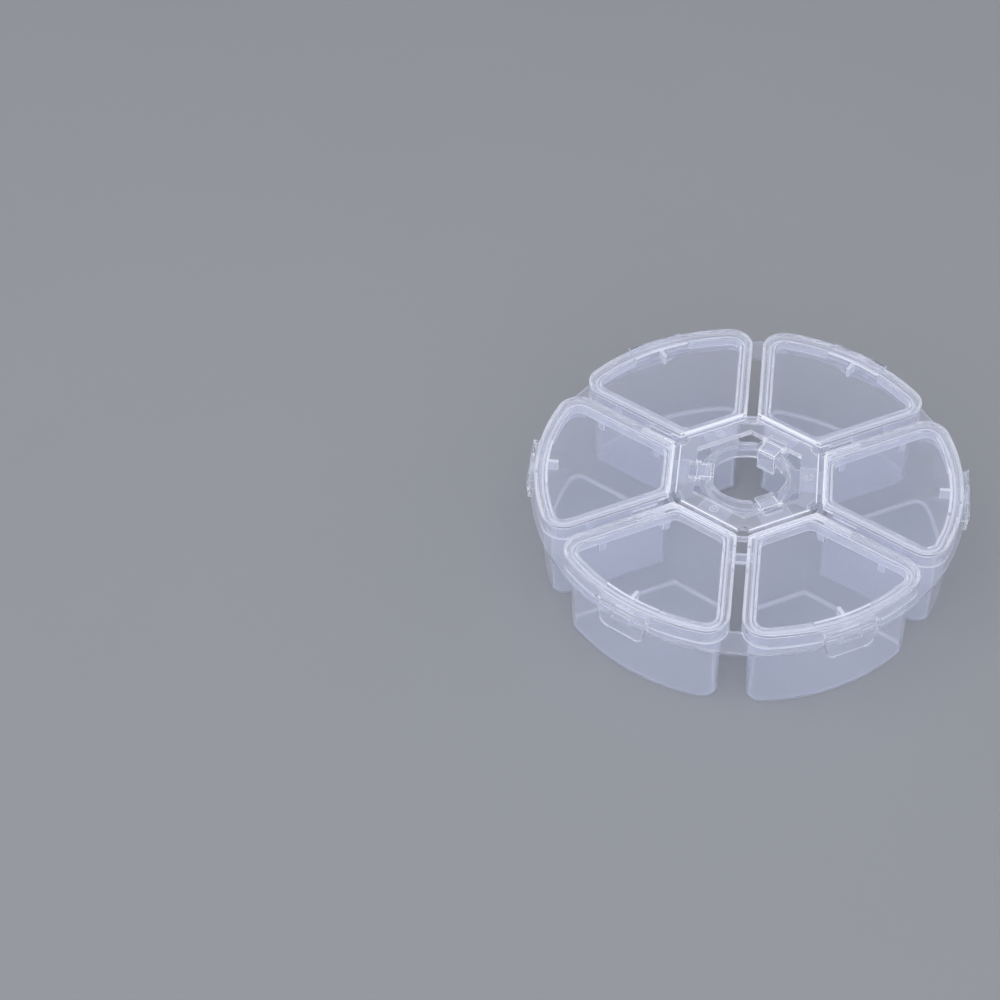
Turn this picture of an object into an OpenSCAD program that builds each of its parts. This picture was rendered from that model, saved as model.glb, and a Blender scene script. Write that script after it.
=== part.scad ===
// Round six-compartment organizer box with six flip lids on one hinged lid moulding.
// Millimetres, +Z up, origin on the floor under the middle of the box.
// Lid 1 lies toward +X and the others follow counter-clockwise.

/* [Overall] */
// Diameter of the rim flange
flange_d = 105; // [95:0.5:120]
// Height of the flange's top face
flange_z = 22; // [18:0.5:28]
// Height of the lid rims above the flange
lid_rise = 5; // [4.6:0.1:6]

/* [Tray] */
// Thickness of the rim flange, the cross ribs and the hub plate
flange_t = 1; // [0.8:0.1:1.4]
// How far the flange stands out from the cups
flange_out = 2.5; // [2.3:0.1:3.2]
// Gap between two neighbouring cups
cup_gap = 5.8; // [5:0.1:7]
// Outside corner radius of a cup
cup_corner = 4; // [3.5:0.1:4.5]
// Wall thickness of a cup
cup_wall = 0.7; // [0.6:0.05:0.9]
// Floor thickness of a cup
cup_floor = 1; // [0.9:0.05:1.2]
// How far the foot of a cup is set in
foot_in = 0.8; // [0.5:0.05:1]
// Height of the foot of a cup
foot_h = 0.6; // [0.4:0.05:0.7]
// Length of the flange web between two cups
web_len = 6.3; // [4:0.1:8]
// Start of a cross rib, from the middle of the box
rib_r = 21.8; // [21.4:0.1:23]
// Width of a cross rib
rib_w = 3; // [2:0.1:4]
// Across flats of the hexagon that the cups stand round
hub_flats = 37.8; // [36:0.1:40]
// Inside diameter of the middle tube
tube_d = 18.8; // [17:0.1:20]
// Wall thickness of the middle tube
tube_wall = 1; // [0.8:0.1:1.4]
// Height of the middle tube
tube_h = 4.5; // [4:0.1:5]
// Width of a spoke of the hub plate
spoke_w = 8; // [7.5:0.1:9]
// Width of the strip across the ends of the hub plate's openings
strip_w = 1; // [0.8:0.1:1.2]

/* [Lids] */
// How far a lid stands out past its cup
lid_over = 1.6; // [1.4:0.05:1.8]
// Thickness of a lid panel
panel_t = 0.7; // [0.6:0.05:0.8]
// Height of the raised border above the panel
border_h = 0.5; // [0.3:0.05:0.6]
// Width of the raised border
border_w = 1.6; // [1.4:0.05:1.9]
// Thickness of the outer skirt
skirt_t = 0.75; // [0.6:0.05:0.8]
// Thickness of the inner skirt that enters the cup
plug_t = 0.6; // [0.5:0.05:0.7]
// Depth of the inner skirt below the panel
plug_h = 2.2; // [1.6:0.1:2.4]
// Length of the four guide pegs below the inner skirt
peg_h = 2.2; // [1.6:0.1:2.6]
// Width of a guide peg
peg_w = 1.8; // [1.2:0.1:2.4]
// Length of the fin behind the latch
fin_len = 3; // [2:0.1:3.5]

/* [Hinges and hub] */
// Width of a hinge web
web_w = 1.7; // [1.4:0.05:2]
// Thickness of a hinge web
web_t = 0.3; // [0.25:0.05:0.4]
// Length of a hinge web
web_run = 16; // [12:0.1:16]
// How far a lid reaches in past its cup at the hinge
hinge_over = 0.5; // [0.4:0.05:0.6]
// Across flats of the hexagonal window in the hub
window_flats = 25.2; // [24.6:0.1:26]
// Radius of the notch at each corner of the hub
notch_r = 2; // [1.8:0.05:2.2]
// Height of the lip round a notch and of the dots
lip_h = 0.4; // [0.3:0.05:0.5]
// Width of a snap clip
clip_w = 4.8; // [4:0.1:5]
// Thickness of a snap clip
clip_t = 0.8; // [0.7:0.05:1]
// Radial depth of the slot behind a snap clip
slot_d = 1.8; // [1.4:0.05:2]

/* [Latches] */
// Width of a latch tab at its top
tab_w = 14.8; // [12:0.1:16]
// Width of a latch tab at its lower edge
tab_low_w = 11.2; // [10:0.1:12]
// Height of a latch tab
tab_h = 8.2; // [7:0.1:9]
// Thickness of a latch tab
tab_t = 0.8; // [0.6:0.05:1]
// Corner radius of a latch tab
tab_round = 2.4; // [2:0.1:2.8]
// Width of the window in a latch tab
eye_w = 5.4; // [4:0.1:6]
// Height of the window in a latch tab
eye_h = 2; // [1.8:0.1:2.2]
// Height of the latch nose above the flange
nose_h = 1.6; // [1.4:0.1:1.8]

/* [Clearances] */
// Between the inner skirt and the cup wall
plug_gap = 0.3; // [0.3:0.05:0.4]
// Between a lid and the top edge of its cup
lip_gap = 0.3; // [0.25:0.05:0.4]
// Between a lid skirt and the flange
seat_gap = 0.15; // [0.1:0.05:0.3]
// Between a latch tab and the flange
latch_gap = 0.5; // [0.4:0.05:0.6]
// Between the latch nose and its tab
nose_gap = 0.15; // [0.1:0.05:0.25]
// Between a snap clip and the middle tube
clip_gap = 0.3; // [0.2:0.05:0.4]

/* [Hidden] */
$fn = 96;
half_gap = cup_gap / 2;
cup_r = flange_d / 2 - flange_out;
// Circle through the centres of the outer cup corners, and where they lie
ring_r = cup_r - cup_corner;
beta = 30 - asin((half_gap + cup_corner) / ring_r);
u_o = ring_r * cos(beta);
v_o = ring_r * sin(beta);
// Centres of the corners at the hub
cup_a = hub_flats / 2;
u_i = cup_a + cup_corner;
v_i = (u_i * sin(30) - half_gap - cup_corner) / cos(30);
side_len = norm([u_o - u_i, v_o - v_i]);
side_dir = [cos(30), sin(30)];
// Rounded corners stand out by this much, so that they cross the straight edges beside them
hair = 0.003;
// Half-width of a compartment at u, over past the line of corner centres
function side_v(u, over) = (u * sin(30) - half_gap - cup_corner + over) / cos(30);
// Levels
lid_z = flange_z + lid_rise;
panel_z = lid_z - border_h - panel_t;
cup_z = panel_z - lip_gap;
plate_z = flange_z - flange_t;
skirt_z = flange_z + seat_gap;
plug_z = panel_z - plug_h;
hub_z = cup_z;
web_z = lid_z - 0.6;
tube_top = lid_z + 0.2;
// Distances out from the line of corner centres
lid_x = cup_corner + lid_over;
border_x = lid_x - border_w;
plug_x = cup_corner - cup_wall - plug_gap;
lid_r = ring_r + lid_x;
// The skirt is cut short beside the hinge, where it would swing into the cup
short_len = 4.4;
short_z = lid_z - 2.6;
// Hub hexagon, hinge line and notches
lid_a = cup_a - hinge_over;
hub_a = lid_a - web_w;
notch_c = hub_a / cos(30) + 0.6;
window_a = window_flats / 2;
// Latch
tab_u = lid_r + latch_gap + 0.15;
tab_z = lid_z - 1.2;
flat_u = tab_u - latch_gap;
tab_half = tab_w / 2 + 0.1;
nose_z = flange_z + nose_h;
nose_w = eye_w - 0.8;
eye_z = flange_z + nose_h / 2;

// A compartment's outline at x out from the line of corner centres, with a straight edge and sharp corners at edge_u
// where that is given.
module outline(x, edge_u = 0) {
    side = x * [-sin(30), cos(30)];
    reach = 2 * ring_r;
    outer = [[u_o, v_o], [u_o, v_o] + side];
    inner = edge_u > 0 ? [[edge_u, side_v(edge_u, x)]] : [[u_i, v_i] + side, [u_i - x, v_i]];
    half = concat(outer, inner);
    polygon(concat(half, [for (i = [len(half) - 1:-1:0]) [half[i].x, -half[i].y]]));
    intersection() {
        circle(ring_r + x);
        polygon([[u_o - 2, -v_o], [u_o, -v_o], reach * [cos(beta), -sin(beta)], reach * [cos(beta), sin(beta)],
            [u_o, v_o], [u_o - 2, v_o]]);
    }
    for (s = [-1, 1]) {
        translate([u_o, s * v_o])
        circle(x + hair);
        if (edge_u == 0)
            translate([u_i, s * v_i])
            circle(x + hair);
    }
}

module cup(k) {
    color([0.72, 0.75, 0.86, 0.6])
    rotate([0, 0, 60 * (k - 1)])
    difference() {
        union() {
            linear_extrude(cup_floor)
            outline(cup_corner - foot_in);
            translate([0, 0, foot_h])
            linear_extrude(cup_z - foot_h)
            outline(cup_corner);
        }
        translate([0, 0, cup_floor])
        linear_extrude(cup_z)
        outline(cup_corner - cup_wall);
    }
}

// A cup's outline as a block, for cutting what meets the cups
module cup_block(z, h) {
    translate([0, 0, z])
    linear_extrude(h)
    outline(cup_corner);
}

module six() {
    for (k = [0:5])
        rotate([0, 0, 60 * k])
        children();
}

module rim_flange() {
    color([0.8, 0.82, 0.92, 0.7])
    union() {
        difference() {
            translate([0, 0, plate_z])
            linear_extrude(flange_t)
            difference() {
                circle(flange_d / 2);
                circle(flange_d / 2 - web_len);
            }
            six() cup_block(plate_z - 1, flange_t + 2);
            // Flats behind the latch tabs
            six()
                translate([flat_u, -10, plate_z - 1])
                cube([10, 20, flange_t + 2]);
        }
        six() latch_nose();
    }
}

// Nose on the flange that a latch tab's window snaps over
module latch_nose() {
    tip = tab_u - nose_gap;
    back = cup_r + 0.7;
    low = flange_z - flange_t / 2;
    translate([0, nose_w / 2, 0])
    rotate([90, 0, 0])
    linear_extrude(nose_w)
    polygon([[back, low], [flat_u - 0.3, low], [tip, flange_z + 0.4], [tip, nose_z - 0.5], [tip - 0.6, nose_z],
        [back, nose_z]]);
}

module cross_rib(k) {
    color([0.8, 0.82, 0.92, 0.7])
    difference() {
        rotate([0, 0, 60 * (k - 1) + 30])
        translate([rib_r, -half_gap - 1.5, plate_z])
        cube([rib_w, cup_gap + 3, flange_t]);
        rotate([0, 0, 60 * (k - 1)])
        cup_block(plate_z - 1, flange_t + 2);
        rotate([0, 0, 60 * k])
        cup_block(plate_z - 1, flange_t + 2);
    }
}

// Regular hexagon with a flat side toward +X
module hexagon(a) {
    rotate([0, 0, 30])
    circle(a / cos(30), $fn = 6);
}

module hub_plate() {
    strip_r = cup_a / cos(30) - 1.3;
    open_r = tube_d / 2 + tube_wall + 1.5;
    color([0.8, 0.82, 0.92, 0.7])
    translate([0, 0, hub_z - flange_t])
    linear_extrude(flange_t)
    difference() {
        intersection() {
            hexagon(cup_a);
            circle(strip_r);
        }
        circle(tube_d / 2 + tube_wall);
        intersection() {
            difference() {
                circle(strip_r - strip_w);
                circle(open_r);
            }
            difference() {
                hexagon(cup_a - strip_w);
                for (k = [0:2])
                    rotate([0, 0, 60 * k])
                    square([3 * cup_a, spoke_w], center = true);
            }
        }
    }
}

module hub_tube() {
    color([0.85, 0.87, 0.95, 0.7])
    difference() {
        translate([0, 0, tube_top - tube_h])
        cylinder(r = tube_d / 2 + tube_wall, h = tube_h);
        translate([0, 0, tube_top - tube_h - 1])
        cylinder(r = tube_d / 2, h = tube_h + 2);
        // Notches that the snap clips cross
        for (k = [0:2])
            rotate([0, 0, 60 + 120 * k])
            translate([0, -clip_w / 2 - 1, hub_z])
            cube([20, clip_w + 2, 5]);
    }
}

module lid_hub() {
    color([0.82, 0.84, 0.93, 0.7])
    union() {
        translate([0, 0, hub_z])
        linear_extrude(lid_z - hub_z)
        difference() {
            hexagon(hub_a);
            hexagon(window_a);
            for (k = [0:5])
                rotate([0, 0, 60 * k + 30])
                translate([notch_c, 0])
                circle(notch_r);
            for (k = [0:2])
                rotate([0, 0, 60 + 120 * k])
                translate([window_a - 1, -clip_w / 2])
                square([slot_d + 1 - clip_gap, clip_w]);
        }
        // Raised lips round the corner notches
        translate([0, 0, lid_z])
        linear_extrude(lip_h)
        intersection() {
            hexagon(hub_a);
            for (k = [0:5])
                rotate([0, 0, 60 * k + 30])
                translate([notch_c, 0])
                difference() {
                    circle(notch_r + 0.5);
                    circle(notch_r);
                }
        }
        // Round dots between the clips
        for (k = [0:2])
            rotate([0, 0, 120 * k])
            translate([(window_a + hub_a) / 2, 0, lid_z]) {
                cylinder(r = 0.4, h = lip_h);
                difference() {
                    cylinder(r = 1.15, h = lip_h / 2);
                    translate([0, 0, -1])
                    cylinder(r = 0.8, h = 3);
                }
            }
    }
}

// Snap clip: a bar from the window's edge, a leg down inside the tube and a barb below the tube
module snap_clip(k) {
    leg_u = tube_d / 2 - clip_gap - 0.2;
    foot_z = tube_top - tube_h - clip_gap - 1.8;
    barb_z = tube_top - tube_h - clip_gap;
    color([0.88, 0.9, 0.97, 0.7])
    rotate([0, 0, 120 * (k - 1) + 60]) {
        translate([leg_u - clip_t, -clip_w / 2, hub_z + 0.2])
        cube([window_a - clip_gap - leg_u + clip_t, clip_w, lid_z - hub_z - 0.2]);
        for (s = [-1, 1])
            translate([window_a - 1.2, s * (clip_w / 2 + 0.4) - 0.4, hub_z + 0.2])
            cube([1.2, 0.8, lid_z - hub_z - 0.2]);
        translate([leg_u - clip_t, -clip_w / 2, foot_z])
        cube([clip_t, clip_w, hub_z + 0.2 - foot_z]);
        translate([leg_u, clip_w / 2, 0])
        rotate([90, 0, 0])
        linear_extrude(clip_w)
        polygon([[0, foot_z + 0.4], [0, barb_z], [0.9, barb_z]]);
    }
}

module hinge_web(k) {
    color([0.85, 0.88, 0.97, 0.5])
    rotate([0, 0, 60 * (k - 1)])
    translate([hub_a, -web_run / 2, web_z])
    cube([web_w, web_run, web_t]);
}

module peg(d) {
    p = [u_i, v_i] + d * side_dir;
    translate([p.x, p.y, 0])
    rotate([0, 0, 120])
    translate([plug_x - plug_t + 0.05, -peg_w, plug_z - peg_h])
    cube([plug_t - 0.1, peg_w, peg_h + plug_h / 2]);
}

module lid(k) {
    color([0.82, 0.85, 0.95, 0.5])
    rotate([0, 0, 60 * (k - 1)])
    union() {
        difference() {
            translate([0, 0, skirt_z])
            linear_extrude(lid_z - skirt_z)
            outline(lid_x, lid_a);
            // Room for the cup's lip below the panel, and the recess above it
            translate([0, 0, skirt_z - 1])
            linear_extrude(panel_z - skirt_z + 1)
            outline(lid_x - skirt_t, lid_a - 1);
            translate([0, 0, panel_z + panel_t])
            linear_extrude(border_h + 1)
            outline(border_x);
            // The skirt is left out at the hinge and cut short beside it
            translate([lid_a - 5, -20, skirt_z - 1])
            cube([7.6, 40, panel_z - skirt_z + 1]);
            translate([lid_a - 5, -20, skirt_z - 1])
            cube([9 + short_len, 40, short_z - skirt_z + 1]);
            // Notch over the latch nose
            translate([ring_r, -eye_w / 2, skirt_z - 1])
            cube([10, eye_w, nose_z + lip_gap - skirt_z + 1]);
        }
        translate([0, 0, plug_z])
        linear_extrude(plug_h + panel_t / 2)
        difference() {
            outline(plug_x);
            outline(plug_x - plug_t);
            translate([ring_r, -tab_half])
            square([10, 2 * tab_half]);
        }
        // Guide pegs and the fin behind the latch
        for (d = [0.4, side_len - peg_w - 1.5]) {
            peg(d);
            mirror([0, 1, 0]) peg(d);
        }
        translate([ring_r + plug_x - fin_len, -0.4, panel_z - 2.8])
        cube([fin_len, 0.8, 2.8 + panel_t / 2]);
    }
}

// A latch tab's outline, y up from the tab's lower edge
module tab_outline() {
    lean = atan((tab_w - tab_low_w) / 2 / tab_h);
    cx = tab_low_w / 2 + tab_round * tan(lean) - tab_round / cos(lean);
    side = [cx + tab_round * cos(lean), tab_round - tab_round * sin(lean)];
    polygon([[-cx, 0], [cx, 0], side, [tab_w / 2, tab_h], [-tab_w / 2, tab_h], [-side.x, side.y]]);
    for (s = [-1, 1])
        translate([s * cx, tab_round])
        circle(tab_round);
}

module latch_tab(k) {
    color([0.86, 0.88, 0.96, 0.6])
    rotate([0, 0, 60 * (k - 1)])
    union() {
        difference() {
            translate([tab_u, 0, tab_z - tab_h])
            rotate([90, 0, 90])
            linear_extrude(tab_t)
            tab_outline();
            translate([tab_u - 1, -eye_w / 2, eye_z - eye_h / 2])
            cube([tab_t + 2, eye_w, eye_h]);
        }
        // Shelf and side returns that carry the tab on the lid's skirt
        difference() {
            translate([lid_r - 2, -tab_w / 2 + 0.4, skirt_z + 0.6])
            cube([tab_u - lid_r + 2, tab_w - 0.8, tab_z - skirt_z - 0.6]);
            translate([lid_r - 3, -tab_w / 2 + 1.1, skirt_z - 1])
            cube([10, tab_w - 2.2, tab_z - 1 - skirt_z + 1]);
            translate([0, 0, skirt_z - 1])
            cylinder(r = lid_r, h = 10);
        }
    }
}

cup(1);  // cup_1
cup(2);  // cup_2
cup(3);  // cup_3
cup(4);  // cup_4
cup(5);  // cup_5
cup(6);  // cup_6
rim_flange();
cross_rib(1);  // cross_rib_1
cross_rib(2);  // cross_rib_2
cross_rib(3);  // cross_rib_3
cross_rib(4);  // cross_rib_4
cross_rib(5);  // cross_rib_5
cross_rib(6);  // cross_rib_6
hub_plate();
hub_tube();
lid_hub();
snap_clip(1);  // snap_clip_1
snap_clip(2);  // snap_clip_2
snap_clip(3);  // snap_clip_3
hinge_web(1);  // hinge_web_1
hinge_web(2);  // hinge_web_2
hinge_web(3);  // hinge_web_3
hinge_web(4);  // hinge_web_4
hinge_web(5);  // hinge_web_5
hinge_web(6);  // hinge_web_6
lid(1);  // lid_1
lid(2);  // lid_2
lid(3);  // lid_3
lid(4);  // lid_4
lid(5);  // lid_5
lid(6);  // lid_6
latch_tab(1);  // latch_tab_1
latch_tab(2);  // latch_tab_2
latch_tab(3);  // latch_tab_3
latch_tab(4);  // latch_tab_4
latch_tab(5);  // latch_tab_5
latch_tab(6);  // latch_tab_6
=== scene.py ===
import math

import bmesh
import bpy
from mathutils import Matrix, Vector
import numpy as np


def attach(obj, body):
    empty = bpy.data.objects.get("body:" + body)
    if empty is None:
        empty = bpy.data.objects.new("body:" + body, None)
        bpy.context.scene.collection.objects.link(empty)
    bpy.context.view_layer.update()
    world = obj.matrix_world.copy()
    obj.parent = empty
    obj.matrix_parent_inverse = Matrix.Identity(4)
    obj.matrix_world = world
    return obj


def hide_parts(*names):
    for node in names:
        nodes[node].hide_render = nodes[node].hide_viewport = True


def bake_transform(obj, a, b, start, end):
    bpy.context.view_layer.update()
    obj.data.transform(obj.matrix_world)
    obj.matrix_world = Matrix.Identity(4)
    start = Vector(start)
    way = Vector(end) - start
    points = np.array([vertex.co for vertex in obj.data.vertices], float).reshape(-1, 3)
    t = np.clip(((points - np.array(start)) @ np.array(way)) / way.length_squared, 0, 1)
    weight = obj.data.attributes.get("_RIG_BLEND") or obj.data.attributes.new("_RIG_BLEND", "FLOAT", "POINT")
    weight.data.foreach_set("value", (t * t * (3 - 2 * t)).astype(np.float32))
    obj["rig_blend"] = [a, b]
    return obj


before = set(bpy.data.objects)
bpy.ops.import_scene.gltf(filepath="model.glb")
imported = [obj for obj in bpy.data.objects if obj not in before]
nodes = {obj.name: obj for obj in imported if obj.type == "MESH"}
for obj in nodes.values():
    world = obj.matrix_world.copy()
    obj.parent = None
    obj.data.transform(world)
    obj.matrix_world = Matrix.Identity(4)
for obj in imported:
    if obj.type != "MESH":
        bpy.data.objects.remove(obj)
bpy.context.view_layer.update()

mm = 0.001
scene = bpy.context.scene
axisZ = (0, 0, 1)


# shader helpers
class Wire:
    # a shader socket that takes part in Python sums
    def __init__(self, kit, socket):
        self.kit = kit
        self.socket = socket

    def sum(self, operation, first, second):
        return self.kit.add("ShaderNodeMath", {"operation": operation}, {0: first, 1: second})

    def __add__(self, other):
        return self.sum("ADD", self, other)

    def __radd__(self, other):
        return self.sum("ADD", other, self)

    def __rsub__(self, other):
        return self.sum("SUBTRACT", other, self)

    def __mul__(self, other):
        return self.sum("MULTIPLY", self, other)

    def __rmul__(self, other):
        return self.sum("MULTIPLY", other, self)


class Finish:
    # one material and its nodes
    def __init__(self, name):
        self.material = bpy.data.materials.new(name)
        self.material.use_nodes = True
        self.tree = self.material.node_tree
        self.tree.nodes.clear()

    def add(self, kind, settings=None, inputs=None, output=0):
        node = self.tree.nodes.new(kind)
        for key, value in (settings or {}).items():
            setattr(node, key, value)
        for key, value in (inputs or {}).items():
            if isinstance(value, Wire):
                self.tree.links.new(value.socket, node.inputs[key])
            else:
                node.inputs[key].default_value = value
        return Wire(self, node.outputs[output]) if len(node.outputs) else None

    def noise(self, scale, detail, roughness):
        spot = self.add("ShaderNodeTexCoord", output="Object")
        return self.add("ShaderNodeTexNoise", None, {
            "Vector": spot, "Scale": scale, "Detail": detail, "Roughness": roughness})

    def mixColour(self, factor, first, second):
        # the colour sockets of a Mix node share their names, so they go by number
        return self.add("ShaderNodeMix", {"data_type": "RGBA"}, {0: factor, 6: first, 7: second}, 2)

    def mixShader(self, factor, first, second):
        return self.add("ShaderNodeMixShader", None, {0: factor, 1: first, 2: second})

    def show(self, surface):
        self.add("ShaderNodeOutputMaterial", None, {"Surface": surface})
        return self.material


def linear(red, green, blue):
    # screen colour 0-255 to scene-linear
    def one(c):
        c = c / 255
        return c / 12.92 if c <= 0.04045 else ((c + 0.055) / 1.055) ** 2.4
    return (one(red), one(green), one(blue), 1)


plastic = {
    "milk": linear(217, 223, 246),      # what the polypropylene scatters back
    "behind": linear(232, 236, 248),    # what it scatters forward
    "edge": linear(250, 251, 255),      # white of the highlight painted along thin edges, where the real plastic gathers light
    "clear": (0.975, 0.98, 0.995, 1),   # tint of what passes straight through
    "edgeHaze": 0.92,                   # share of an edge that is milky, where the white highlight is painted
    "through": 0.45,                    # share of the haze lit from behind
    "upShare": 0.25,                    # how much more an edge reflects from above and passes from below
    "lamps": 0.9,                       # share of lamp light that goes through, as haze scatters forward
    "ior": 1.46,
    "cloudLow": 0.8, "cloudSpan": 0.4, "cloudDetail": 3.0, "cloudRough": 0.55,
    "roughSpan": 0.03, "milkRough": 0.3,
}


def makePlastic(name, haze, rough, cloudScale):
    # milky polypropylene: clear sheet, faint cloudiness, milkier where thick, and a white highlight painted
    # along its edges
    kit = Finish(name)
    # edge: the mask that makes thick plastic milkier and paints a white highlight along edges
    edge = kit.add("ShaderNodeAttribute", {"attribute_name": "milkAndHighlight"}, output="Fac")
    cloud = kit.noise(cloudScale, plastic["cloudDetail"], plastic["cloudRough"])
    sheet = haze * (plastic["cloudLow"] + plastic["cloudSpan"] * cloud)
    density = sheet + edge * (plastic["edgeHaze"] - sheet)
    clear = kit.add("ShaderNodeBsdfPrincipled", None, {
        "Base Color": plastic["clear"], "Roughness": rough + plastic["roughSpan"] * cloud,
        "IOR": plastic["ior"], "Transmission Weight": 1.0})
    # the milky skin turns to the painted white highlight colour along the edges
    skin = kit.add("ShaderNodeBsdfPrincipled", None, {
        "Base Color": kit.mixColour(edge, plastic["milk"], plastic["edge"]),
        "Roughness": plastic["milkRough"], "IOR": plastic["ior"]})
    behind = kit.add("ShaderNodeBsdfTranslucent", None, {"Color": plastic["behind"]})
    facing = kit.add("ShaderNodeNewGeometry", output="Normal")
    up = kit.add("ShaderNodeSeparateXYZ", None, {0: facing}, "Z")
    through = plastic["through"] - plastic["upShare"] * (edge * up)
    surface = kit.mixShader(density, clear, kit.mixShader(through, skin, behind))
    shadowRay = kit.add("ShaderNodeLightPath", output="Is Shadow Ray")
    passing = kit.add("ShaderNodeBsdfTransparent", None, {"Color": plastic["clear"]})
    return kit.show(kit.mixShader(plastic["lamps"] * shadowRay, surface, passing))


trayPlastic = makePlastic("trayPlastic", haze=0.16, rough=0.03, cloudScale=60.0)
lidPlastic = makePlastic("lidPlastic", haze=0.07, rough=0.01, cloudScale=80.0)
hingePlastic = makePlastic("hingePlastic", haze=0.08, rough=0.04, cloudScale=200.0)
print("materials made")


# shared shape of a compartment, in millimetres, as the tray is drawn
plan = {
    "cupR": 50.0, "corner": 4.0, "gap": 5.8, "hubFlats": 37.8, "count": 6, "stopStep": 0.01,
    "arcSteps": 110, "cornerSteps": 10, "hingeSteps": 6,
}
sixth = 60                          # degrees from one compartment to the next
halfSixth = math.radians(sixth / 2)
sideCos = math.cos(halfSixth)       # a compartment's sides lean 30 degrees from its middle line
sideSin = 0.5
ringR = plan["cupR"] - plan["corner"]
inset = plan["gap"] / 2 + plan["corner"]
beta = halfSixth - math.asin(inset / ringR)
outer = Vector((ringR * math.cos(beta), ringR * math.sin(beta), 0))
innerU = plan["hubFlats"] / 2 + plan["corner"]
turnIn = math.radians(2 * sixth) - beta
compartments = range(1, plan["count"] + 1)


def sideV(u, x):
    # half-width of a compartment at u, x out from the line of corner centres
    return (u * sideSin - inset + x) / sideCos


def vertsOf(geom):
    return [g for g in geom if isinstance(g, bmesh.types.BMVert)]


def turn(bm, vert, centre, angle, steps):
    made = bmesh.ops.spin(bm, geom=[vert], cent=centre, axis=axisZ, angle=angle, steps=steps)
    return vertsOf(made["geom_last"])[0]


def runTo(bm, vert, places):
    for spot in places:
        vert = bmesh.ops.extrude_vert_indiv(bm, verts=[vert])["verts"][0]
        vert.co = spot
    return vert


def compartmentLoop(bm, x, z, hingeU=None, hingeR=None, stops=()):
    # one closed ring of edges: rim arc, corner, side, hinge corner, and back
    hingeU = innerU - x if hingeU is None else hingeU
    hingeR = x if hingeR is None else hingeR
    before = len(bm.verts)
    centreU = hingeU + hingeR
    centre = Vector((centreU, sideV(centreU, x - hingeR), z))
    mirrored = Vector((centre.x, -centre.y, z))
    tangentU = centreU - hingeR / 2
    down = [max(u, tangentU + plan["stopStep"] * (len(stops) - i)) for i, u in enumerate(stops)]
    down = [Vector((u, sideV(u, x), z)) for u in down]
    up = [Vector((p.x, -p.y, z)) for p in reversed(down)]
    tangent = Vector((-sideSin, sideCos, 0)) * hingeR
    corner = Vector((outer.x, outer.y, z)), Vector((outer.x, -outer.y, z))
    start = bm.verts.new(((ringR + x) * math.cos(beta), -(ringR + x) * math.sin(beta), z))
    end = turn(bm, start, Vector((0, 0, z)), 2 * beta, plan["arcSteps"])
    end = turn(bm, end, corner[0], turnIn, plan["cornerSteps"])
    end = runTo(bm, end, down + [centre + tangent])
    end = turn(bm, end, centre, math.radians(sixth), plan["hingeSteps"])
    end = runTo(bm, end, [Vector((hingeU, -centre.y, z))])
    end = turn(bm, end, mirrored, math.radians(sixth), plan["hingeSteps"])
    end = runTo(bm, end, up + [corner[1] + Vector((-sideSin, -sideCos, 0)) * x])
    end = turn(bm, end, corner[1], turnIn, plan["cornerSteps"])
    bmesh.ops.weld_verts(bm, targetmap={end: start})
    bm.verts.ensure_lookup_table()
    return bm.verts[before:]


def ring(x, z, shine, kind=None, hingeU=None, hingeR=None):
    # one ring of a loft; shine is the painted highlight of the band that leads up to it
    return (x, z, shine, kind, hingeU, hingeR)


def loft(bm, rings, stops=(), lifts=None):
    # rings match point for point, so no bridge can twist
    glow = bm.faces.layers.float["milkAndHighlight"]
    loops = []
    for x, z, shine, kind, hingeU, hingeR in rings:
        loop = compartmentLoop(bm, x, z, hingeU, hingeR, stops)
        if lifts and kind in lifts:
            for vert in loop:
                vert.co.z += lifts[kind](vert.co)
        if loops:
            last = loops[-1]
            for i in range(len(loop)):
                bm.faces.new((last[i - 1], last[i], loop[i], loop[i - 1]))[glow] = shine
        loops.append(loop)
    for loop in (loops[0], loops[-1]):
        bm.faces.new(loop)


def arc(centreX, centreZ, radius, start, end, steps):
    # points of a rounded edge in a section
    angles = [math.radians(start + (end - start) * i / steps) for i in range(steps + 1)]
    return [(centreX + radius * math.cos(a), centreZ + radius * math.sin(a)) for a in angles]


def bands(points, lead, shine):
    # the band up to the first point gets a painted highlight of lead, those between the points of shine
    return [(x, z, shine if i else lead) for i, (x, z) in enumerate(points)]


def newShape():
    bm = bmesh.new()
    # each face holds how milky it is and how strong a highlight is painted on it
    bm.faces.layers.float.new("milkAndHighlight")
    return bm


def block(bm, low, high, bevel, body, shine):
    # a small moulded block with soft edges; a highlight is painted on its bevels and a fainter one on its
    # body
    glow = bm.faces.layers.float["milkAndHighlight"]
    size = Vector(high) - Vector(low)
    middle = (Vector(high) + Vector(low)) / 2
    matrix = Matrix.Translation(middle) @ Matrix.Diagonal(size.to_4d())
    verts = bmesh.ops.create_cube(bm, size=1, matrix=matrix)["verts"]
    edges = {e for v in verts for e in v.link_edges}
    made = bmesh.ops.bevel(bm, geom=list(edges), offset=bevel, segments=2, profile=0.5,
                           affect="EDGES", material=-1)
    verts = {v for v in verts if v.is_valid} | set(made["verts"])
    for face in {f for v in verts for f in v.link_faces}:
        face[glow] = body
    for face in made["faces"]:
        face[glow] = shine
    return verts


def finishMesh(bm, name, material, turned=0):
    # millimetres to metres, turned about the middle
    bmesh.ops.recalc_face_normals(bm, faces=bm.faces)
    matrix = Matrix.Rotation(math.radians(turned), 4, "Z") @ Matrix.Scale(mm, 4)
    bmesh.ops.transform(bm, matrix=matrix, verts=bm.verts)
    return showMesh(bm, name, material)


sharpAngle = math.radians(40)


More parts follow.
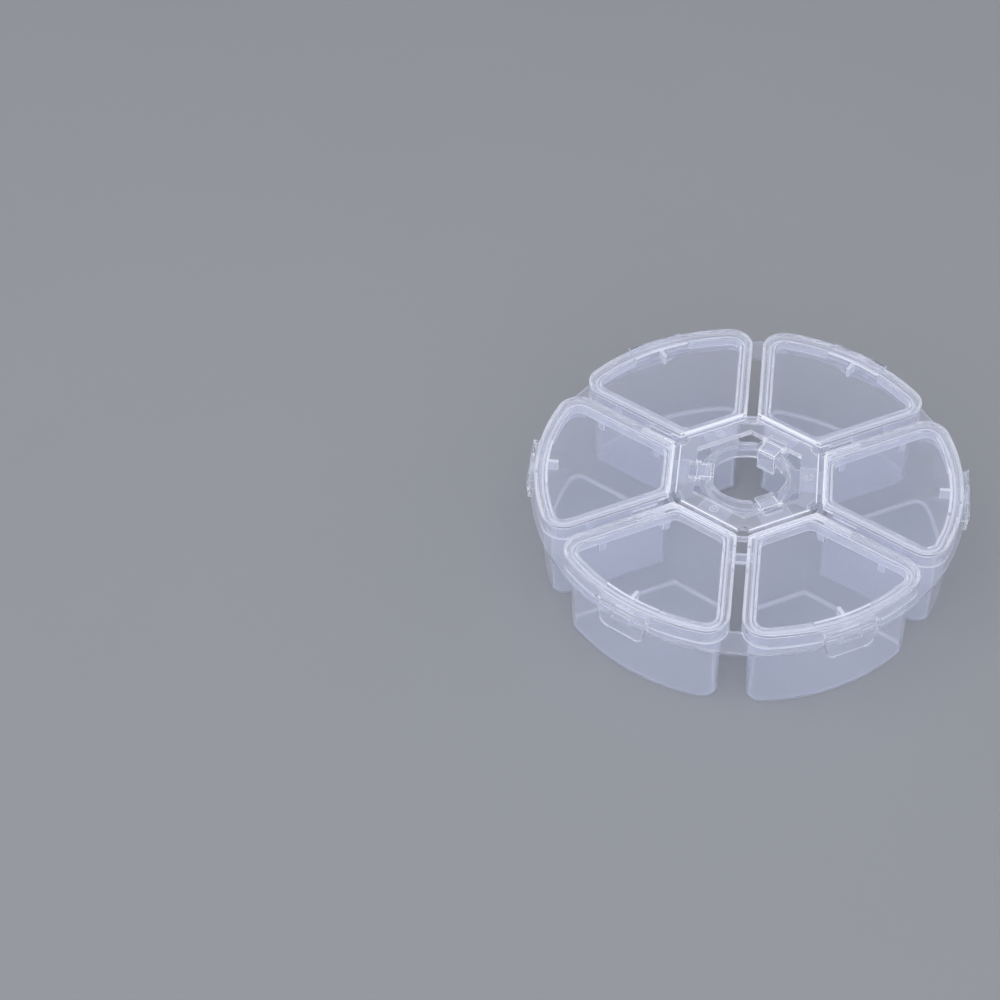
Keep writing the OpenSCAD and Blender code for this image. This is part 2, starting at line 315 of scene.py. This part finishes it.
def showMesh(bm, name, material):
    # smooth up to sharpAngle; broad faces set the normals beside the rounded edges
    for face in bm.faces:
        face.smooth = True
    for edge in bm.edges:
        edge.smooth = edge.calc_face_angle(0) < sharpAngle
    mesh = bpy.data.meshes.new(name)
    bm.to_mesh(mesh)
    mesh.materials.append(material)
    piece = bpy.data.objects.new(name, mesh)
    scene.collection.objects.link(piece)
    shading = piece.modifiers.new("evenShading", "WEIGHTED_NORMAL")
    shading.keep_sharp = True
    return piece


def place(piece, body, slot, *replaced):
    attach(piece, body)
    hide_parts(*replaced)


# cups
cup = {
    "top": 25.5, "floor": 0.8, "wall": 0.7, "draft": 0.38, "bandZ": 21.0,
    "hubCorner": 2.6, "leastCorner": 0.3,
    "footRound": 1.3, "floorRound": 0.45, "lipRound": 0.25, "roundSteps": 5, "lipSteps": 3, "lean": -4,
    # painted highlights along the outer foot, the lip and the floor fillet
    "footShine": 0.38, "lipShine": 0.75, "floorShine": 0.32,
}


def cupRings():
    # section from the foot up the outside, over the lip and down to the floor
    outX = plan["corner"]
    inX = outX - cup["wall"]
    foot, fillet, lip = cup["footRound"], cup["floorRound"], cup["lipRound"]
    footX = outX - cup["draft"] - foot
    endX = inX - cup["draft"] - fillet
    lipZ = cup["top"] - lip
    rings = bands(arc(footX, foot, foot, -90, cup["lean"], cup["roundSteps"]), 0.0, cup["footShine"])
    rings += [(outX, cup["bandZ"], 0.0)]
    rings += bands(arc(outX - lip, lipZ, lip, 0, 90, cup["lipSteps"]), 0.0, cup["lipShine"])
    rings += bands(arc(inX + lip, lipZ, lip, 90, 180, cup["lipSteps"]), cup["lipShine"], cup["lipShine"])
    rings += [(inX, cup["bandZ"], 0.0)]
    floorArc = arc(endX, cup["floor"] + fillet, fillet, cup["lean"], -90, cup["roundSteps"])
    rings += bands(floorArc, 0.0, cup["floorShine"])
    least, cut = cup["leastCorner"], cup["hubCorner"]
    return [ring(x, z, shine, hingeR=max(least, x - cut)) for x, z, shine in rings]


cupShape = newShape()
loft(cupShape, cupRings())
for k in compartments:
    piece = finishMesh(cupShape.copy(), f"cupShell_{k}", trayPlastic, sixth * (k - 1))
    place(piece, "tray", "tray_plastic", f"cup_{k}")
print("cups made")


# lids
lid = {
    "top": 27.0, "border": 0.5, "panel": 0.7, "edgeX": 5.6, "recessX": 4.0,
    "skirt": 0.75, "skirtFoot": 22.15,
    "plugX": 3.0, "plug": 0.6, "plugFoot": 23.6, "hingeU": 18.4, "noSkirtU": 21.0, "shortU": 26.8,
    "round": 0.28, "recessRound": 0.2, "rootRound": 0.2, "plugRoot": 0.15,
    "hingeCorner": 0.4, "skirtInset": 0.8,
    "edgeSteps": 4, "roundSteps": 3, "plugSteps": 6, "stopHalf": 0.05,
    "shortLift": 2.25, "hingeLift": 3.3, "noseLift": 1.75, "noseV": 2.6,
    "breakV": 7.45, "breakLift": 2.1, "breakEase": 0.8, "easeLift": 0.25,
    # painted highlights of the lid's bands and rounded edges
    "recessShine": 0.3, "innerShine": 0.38, "borderShine": 0.2, "outerShine": 0.42, "hingeShine": 0.95,
    "skirtShine": 0.12, "footShine": 0.9, "wallShine": 0.1, "rootShine": 0.3, "plugShine": 0.25,
}


def skirtLift(co):
    # the skirt ends higher beside the hinge and over the latch nose
    if co.x < lid["noSkirtU"]:
        return lid["hingeLift"]
    if co.x < lid["shortU"]:
        return lid["shortLift"]
    return lid["noseLift"] if abs(co.y) < lid["noseV"] else 0


def plugLift(co):
    # the inner skirt breaks off behind the latch
    past = abs(co.y) - lid["breakV"]
    if co.x < ringR or past > lid["breakEase"]:
        return 0
    return lid["breakLift"] if past < 0 else lid["easeLift"]


def hingeSide(points, kind=None):
    # rings of the lid's outer form, which ends at the hinge line
    endU = lid["hingeU"] + lid["edgeX"]
    return [ring(x, z, shine, kind, endU - x, lid["hingeCorner"]) for x, z, shine in points]


def lidRings():
    # section from the panel over the border, round the skirt and the inner skirt to the underside
    r, small, dip, steps = lid["round"], lid["plug"] / 2, lid["recessRound"], lid["roundSteps"]
    panelTop = lid["top"] - lid["border"]
    panelLow = panelTop - lid["panel"]
    edge, recess, inSkirt = lid["edgeX"], lid["recessX"], lid["edgeX"] - lid["skirt"]
    plugOut, plugIn = lid["plugX"], lid["plugX"] - lid["plug"]
    root, plugRoot = lid["rootRound"], lid["plugRoot"]
    footZ = lid["skirtFoot"] + r
    foot = lid["footShine"]
    skirtU = lid["hingeU"] + lid["skirtInset"]
    dent = arc(recess - dip, panelTop + dip, dip, -90, 0, steps)
    crest = arc(recess + dip, lid["top"] - dip, dip, 180, 90, steps)
    rings = [ring(x, z, lid["recessShine"]) for x, z in dent]
    rings += [ring(x, z, lid["innerShine"]) for x, z in crest]
    rim = arc(edge - r, lid["top"] - r, r, 90, 0, lid["edgeSteps"])
    rings += hingeSide(bands(rim, lid["borderShine"], lid["outerShine"]))
    rings += hingeSide(bands(arc(edge - r, footZ, r, 0, -90, steps), lid["skirtShine"], foot), "skirt")
    rings += hingeSide(bands(arc(inSkirt + r, footZ, r, -90, -180, steps), foot, foot), "skirt")
    rings += [ring(inSkirt, panelLow - root, lid["wallShine"], None, skirtU, lid["hingeCorner"])]
    rings += [ring(inSkirt - root, panelLow, lid["rootShine"], None, skirtU + root, lid["hingeCorner"])]
    rings += [ring(plugOut + plugRoot, panelLow, lid["wallShine"])]
    rings += [ring(plugOut, panelLow - plugRoot, lid["rootShine"])]
    plugFoot = arc(plugOut - small, lid["plugFoot"] + small, small, 0, -180, lid["plugSteps"])
    rings += [ring(x, z, shine, "plug") for x, z, shine in bands(plugFoot, lid["plugShine"], foot)]
    rings += [ring(plugIn, panelLow - plugRoot, lid["plugShine"])]
    rings += [ring(plugIn - plugRoot, panelLow, lid["rootShine"])]
    return rings


def markHingeEdge(bm):
    # the rounded edge along the hinge gets the strongest painted highlight
    glow = bm.faces.layers.float["milkAndHighlight"]
    for face in bm.faces:
        centre = face.calc_center_median()
        if centre.x < lid["hingeU"] + lid["round"] and centre.z > lid["top"] - lid["round"]:
            face[glow] = lid["hingeShine"]


# body and shine: the highlight painted on the faces and on the bevels of the pegs and the fin
peg = {
    "at": (0.4, 17.0), "wide": 1.8, "drop": 2.2, "root": 0.6, "inset": 0.05, "turn": 120,
    "bevel": 0.14, "body": 0.4, "shine": 1.0,
}
fin = {"long": 3.0, "half": 0.4, "drop": 2.8, "root": 0.2, "bevel": 0.18, "body": 0.6, "shine": 1.0}


def addPegs(bm):
    # four pegs below the inner skirt's sides, and the fin behind the latch
    first = Vector((innerU, sideV(innerU, 0), 0))
    along = Vector((sideCos, sideSin, 0))
    low = (lid["plugX"] - lid["plug"] + peg["inset"], -peg["wide"], lid["plugFoot"] - peg["drop"])
    high = (lid["plugX"] - peg["inset"], 0, lid["plugFoot"] + peg["root"])
    turned = Matrix.Rotation(math.radians(peg["turn"]), 4, "Z")
    for d in peg["at"]:
        for side in (1, -1):
            verts = block(bm, low, high, peg["bevel"], peg["body"], peg["shine"])
            matrix = Matrix.Translation(first + along * d) @ turned
            if side < 0:
                matrix = Matrix.Scale(-1, 4, (0, 1, 0)) @ matrix
            bmesh.ops.transform(bm, matrix=matrix, verts=list(verts))
    panelLow = lid["top"] - lid["border"] - lid["panel"]
    tip = ringR + lid["plugX"]
    low = (tip - fin["long"], -fin["half"], panelLow - fin["drop"])
    high = (tip, fin["half"], panelLow + fin["root"])
    block(bm, low, high, fin["bevel"], fin["body"], fin["shine"])


stops = [u + s * lid["stopHalf"] for u in (lid["shortU"], lid["noSkirtU"]) for s in (1, -1)]
lidShape = newShape()
loft(lidShape, lidRings(), stops, {"skirt": skirtLift, "plug": plugLift})
markHingeEdge(lidShape)
addPegs(lidShape)
for k in compartments:
    piece = finishMesh(lidShape.copy(), f"flipLid_{k}", lidPlastic, sixth * (k - 1))
    place(piece, f"flap_{k}", "lid_plastic", f"lid_{k}")
print("lids made")


# hinge webs
# line and shine: width and strength of the highlight painted along each side of the web
web = {
    "from": 16.7, "to": 18.4, "low": 26.4, "high": 26.7, "length": 16.0, "overlap": 0.1,
    "groove": 0.08, "line": 0.36, "shine": 1.0, "steps": 12, "same": 1e-6,
}
webU = (web["from"] + web["to"]) / 2
webZ = (web["low"] + web["high"]) / 2
webReach = web["to"] - web["from"] + 2 * web["overlap"]


def hingeWeb():
    # a strip with a shallow groove along its middle and a painted highlight line along each side
    bm = newShape()
    glow = bm.faces.layers.float["milkAndHighlight"]
    startU = web["from"] - web["overlap"]
    row = [bm.verts.new((startU, -web["length"] / 2, z)) for z in (web["low"], web["high"])]
    edge = bm.edges.new(row)
    for _ in range(web["steps"]):
        made = bmesh.ops.extrude_edge_only(bm, edges=[edge])["geom"]
        for vert in vertsOf(made):
            vert.co.x += webReach / web["steps"]
        edge = [g for g in made if isinstance(g, bmesh.types.BMEdge)
                and all(abs(v.co.x - g.verts[0].co.x) < web["same"] for v in g.verts)][0]
    for vert in bm.verts:
        if vert.co.z > webZ:
            vert.co.z -= web["groove"] * max(0, 1 - abs(vert.co.x - webU) / (webReach / 2))
    made = bmesh.ops.extrude_face_region(bm, geom=bm.faces[:])["geom"]
    bmesh.ops.translate(bm, vec=(0, web["length"], 0), verts=vertsOf(made))
    for face in bm.faces:
        off = abs(face.calc_center_median().x - webU)
        face[glow] = web["shine"] if off > webReach / 2 - web["line"] else 0
    return bm


for k in compartments:
    piece = finishMesh(hingeWeb(), f"livingHinge_{k}", hingePlastic, sixth * (k - 1))
    turnK = Matrix.Rotation(math.radians(sixth * (k - 1)), 3, "Z")
    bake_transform(piece, "tray", f"flap_{k}", turnK @ Vector((web["from"], 0, webZ)) * mm,
             turnK @ Vector((web["to"], 0, webZ)) * mm)
    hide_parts(f"hinge_web_{k}")
print("hinges made")


# pieces that keep the frame's shape, with softened edges, in millimetres
# body, shine and calm: how milky a piece is and the highlight painted on its edges and narrow faces, capped
# at calm above calmZ
soft = {
    "weld": 0.001, "flat": math.radians(1), "crease": math.radians(30), "levelZ": 0.5, "narrow": 0.45,
    "body": 0.1, "shine": 0.9, "calm": 0.35, "noCalm": 1000.0,
}


def softened(node, name, material, width, body=soft["body"], calmZ=soft["noCalm"], drop=0.0, narrow=0.0,
             level=False, shine=soft["shine"]):
    # a welded copy of a CAD node, a highlight painted on its edges and narrow faces, weaker above calmZ;
    # with level, only narrow faces that lie flat count
    bm = bmesh.new()
    bm.from_mesh(nodes[node].data)
    bmesh.ops.remove_doubles(bm, verts=bm.verts, dist=soft["weld"] * mm)
    bmesh.ops.dissolve_limit(bm, angle_limit=soft["flat"], verts=bm.verts, edges=bm.edges)
    glow = bm.faces.layers.float.new("milkAndHighlight")
    sharp = [e for e in bm.edges if len(e.link_faces) == 2 and e.calc_face_angle() > soft["crease"]]
    made = bmesh.ops.bevel(bm, geom=sharp, offset=width * mm, segments=2, profile=0.5, affect="EDGES",
                           material=-1, clamp_overlap=True)
    for face in bm.faces:
        thin = 2 * face.calc_area() < narrow * mm * face.calc_perimeter()
        counts = abs(face.normal.z) > soft["levelZ"] or not level
        face[glow] = shine if thin and counts else body
    for face in made["faces"]:
        face[glow] = shine
    for face in bm.faces:
        if face.calc_center_median().z > calmZ * mm:
            face[glow] = min(face[glow], soft["calm"])
    bmesh.ops.translate(bm, vec=(0, 0, -drop * mm), verts=bm.verts)
    return showMesh(bm, name, material)


# per fitting: bevel width, drop and its painted highlight (body, shine, calmZ, narrow, level)
fitting = {
    "flange": {"width": 0.3, "body": 0.0, "narrow": soft["narrow"]},
    "plate": {"width": 0.22, "body": 0.0, "drop": 0.08},
    "tube": {"width": 0.3, "calmZ": 25.0, "narrow": soft["narrow"], "level": True, "shine": 1.0},
    "hub": {"width": 0.22, "body": 0.13, "shine": 1.0},
    "rib": {"width": 0.25},
    "tab": {"width": 0.25, "body": 0.06, "calmZ": 21.7, "narrow": soft["narrow"]},
    "clip": {"width": 0.22, "shine": 1.0},
}
clipCount = 3


def fit(node, name, material, body, slot, kind):
    place(softened(node, name, material, **fitting[kind]), body, slot, node)


fit("rim_flange", "rimFlange", trayPlastic, "tray", "tray_plastic", "flange")
fit("hub_plate", "hubPlate", trayPlastic, "tray", "tray_plastic", "plate")
fit("hub_tube", "hubTube", trayPlastic, "tray", "tray_plastic", "tube")
fit("lid_hub", "lidHub", lidPlastic, "tray", "lid_plastic", "hub")
for k in compartments:
    fit(f"cross_rib_{k}", f"crossRib_{k}", trayPlastic, "tray", "tray_plastic", "rib")
    fit(f"latch_tab_{k}", f"latchTab_{k}", lidPlastic, f"flap_{k}", "lid_plastic", "tab")
for k in range(1, clipCount + 1):
    fit(f"snap_clip_{k}", f"snapClip_{k}", lidPlastic, "tray", "lid_plastic", "clip")
print("tray fittings, hub, clips and latches made")


# studio
studio = {
    "floor": linear(139, 142, 149), "pale": 1.05, "floorRough": 0.75, "floorSize": 20.0, "floorZ": -0.0001,
    "mottleScale": 9.0, "mottleDetail": 4.0, "mottleRough": 0.6,
    "zenith": 0.33, "horizon": 1.1, "front": 0.42,
    "lamp": (-0.1, -0.14, 0.8), "lampAim": (-0.06, 0, 0), "lampSize": 1.0, "lampPower": 4.8,
    "camera": (0.002, -0.38906, 0.42633), "yaw": -0.1602, "pitch": 0.812, "roll": -0.041,
    "lens": 82.58, "sensor": 36, "bounces": 40,
}


def makeFloor():
    kit = Finish("studioFloor")
    mottle = kit.noise(studio["mottleScale"], studio["mottleDetail"], studio["mottleRough"])
    pale = [c * studio["pale"] for c in studio["floor"][:3]] + [1]
    colour = kit.mixColour(mottle, studio["floor"], pale)
    skin = kit.add("ShaderNodeBsdfPrincipled", None, {
        "Base Color": colour, "Roughness": studio["floorRough"]})
    bm = bmesh.new()
    bmesh.ops.create_grid(bm, x_segments=1, y_segments=1, size=studio["floorSize"] / 2)
    bmesh.ops.translate(bm, vec=(0, 0, studio["floorZ"]), verts=bm.verts)
    mesh = bpy.data.meshes.new("studioFloor")
    bm.to_mesh(mesh)
    mesh.materials.append(kit.show(skin))
    floor = bpy.data.objects.new("studioFloor", mesh)
    scene.collection.objects.link(floor)


def makeSoftBox():
    lamp = bpy.data.lights.new("topSoftBox", "AREA")
    lamp.shape = "SQUARE"
    lamp.size = studio["lampSize"]
    lamp.energy = studio["lampPower"]
    softBox = bpy.data.objects.new("topSoftBox", lamp)
    softBox.location = studio["lamp"]
    aim = Vector(studio["lampAim"]) - Vector(studio["lamp"])
    softBox.rotation_euler = aim.to_track_quat("-Z", "Y").to_euler()
    scene.collection.objects.link(softBox)


def makeWorld():
    # a white tent, brighter toward its sides and the front than overhead
    world = bpy.data.worlds.new("studioWorld")
    world.use_nodes = True
    tree = world.node_tree
    split = tree.nodes.new("ShaderNodeSeparateXYZ")
    tree.links.new(tree.nodes.new("ShaderNodeTexCoord").outputs["Generated"], split.inputs[0])
    level = tree.nodes.new("ShaderNodeMapRange")
    level.inputs["To Min"].default_value = studio["horizon"]
    level.inputs["To Max"].default_value = studio["zenith"]
    tree.links.new(split.outputs["Z"], level.inputs["Value"])
    side = tree.nodes.new("ShaderNodeMath")
    side.operation = "MULTIPLY_ADD"
    side.inputs[1].default_value = -studio["front"]
    tree.links.new(split.outputs["Y"], side.inputs[0])
    tree.links.new(level.outputs[0], side.inputs[2])
    tree.links.new(side.outputs[0], tree.nodes["Background"].inputs["Strength"])
    tree.nodes["Background"].inputs["Color"].default_value = (1, 1, 1, 1)
    scene.world = world


def makeCamera():
    lens = bpy.data.cameras.new("photoCamera")
    lens.lens = studio["lens"]
    lens.sensor_width = studio["sensor"]
    camera = bpy.data.objects.new("photoCamera", lens)
    yaw, pitch = studio["yaw"], studio["pitch"]
    aim = Vector((math.sin(yaw) * math.cos(pitch), math.cos(yaw) * math.cos(pitch), -math.sin(pitch)))
    turned = aim.to_track_quat("-Z", "Y").to_matrix().to_4x4() @ Matrix.Rotation(studio["roll"], 4, "Z")
    camera.matrix_world = Matrix.Translation(studio["camera"]) @ turned
    scene.collection.objects.link(camera)
    scene.camera = camera


makeFloor()
makeSoftBox()
makeWorld()
makeCamera()
# the clear walls lie many layers deep
scene.cycles.max_bounces = studio["bounces"]
scene.cycles.transmission_bounces = studio["bounces"]
scene.cycles.transparent_max_bounces = studio["bounces"]
scene.view_settings.view_transform = "Standard"
print("studio made")
